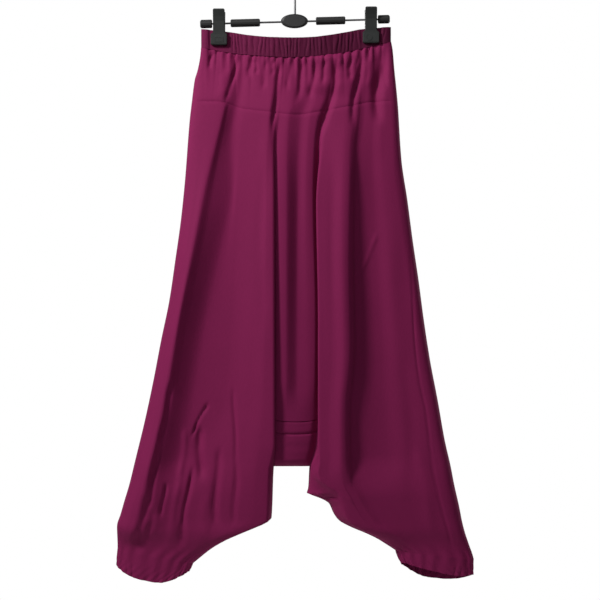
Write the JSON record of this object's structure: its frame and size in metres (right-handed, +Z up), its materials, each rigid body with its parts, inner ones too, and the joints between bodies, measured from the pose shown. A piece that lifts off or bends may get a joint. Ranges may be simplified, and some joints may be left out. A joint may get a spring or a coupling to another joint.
{
  "type": "drop-crotch wide-leg pants on a clip hanger",
  "caption": "Wide drop-crotch pants with a gathered elastic waist, hip yoke and gathered ankle casings, held flat by a wire hanger with two clips.",
  "frame": {"origin": "inner crown of the hanger's hook, where it rests on a rod", "axes": "+Z up, front of the pants towards -Y, +X to the right as seen from the front"},
  "size_m": [0.6078, 0.0694, 1.0395],
  "materials": {
    "cloth": "matte crepe",
    "gathered_cloth": "matte crepe, gathered",
    "wire": "satin",
    "black_plastic": "matte"
  },
  "bodies": {
    "root": {"waistband_front": "gathered_cloth", "waistband_back": "gathered_cloth", "cuff_left": "gathered_cloth", "cuff_right": "gathered_cloth", "yoke_front": "cloth", "yoke_back": "cloth", "front_left_panel": "cloth", "front_centre_panel": "cloth", "front_right_panel": "cloth", "back_left_panel": "cloth", "back_centre_panel": "cloth", "back_right_panel": "cloth", "crotch_band": "cloth", "crotch_gusset": "cloth", "hook": "wire", "bar": "wire", "badge": "black_plastic", "grip_left": "black_plastic", "grip_right": "black_plastic", "cap_left": "black_plastic", "cap_right": "black_plastic", "clip_left_front_jaw": "black_plastic", "clip_left_back_jaw": "black_plastic", "clip_left_sleeve": "black_plastic", "clip_right_front_jaw": "black_plastic", "clip_right_back_jaw": "black_plastic", "clip_right_sleeve": "black_plastic"}
  },
  "joints": []
}
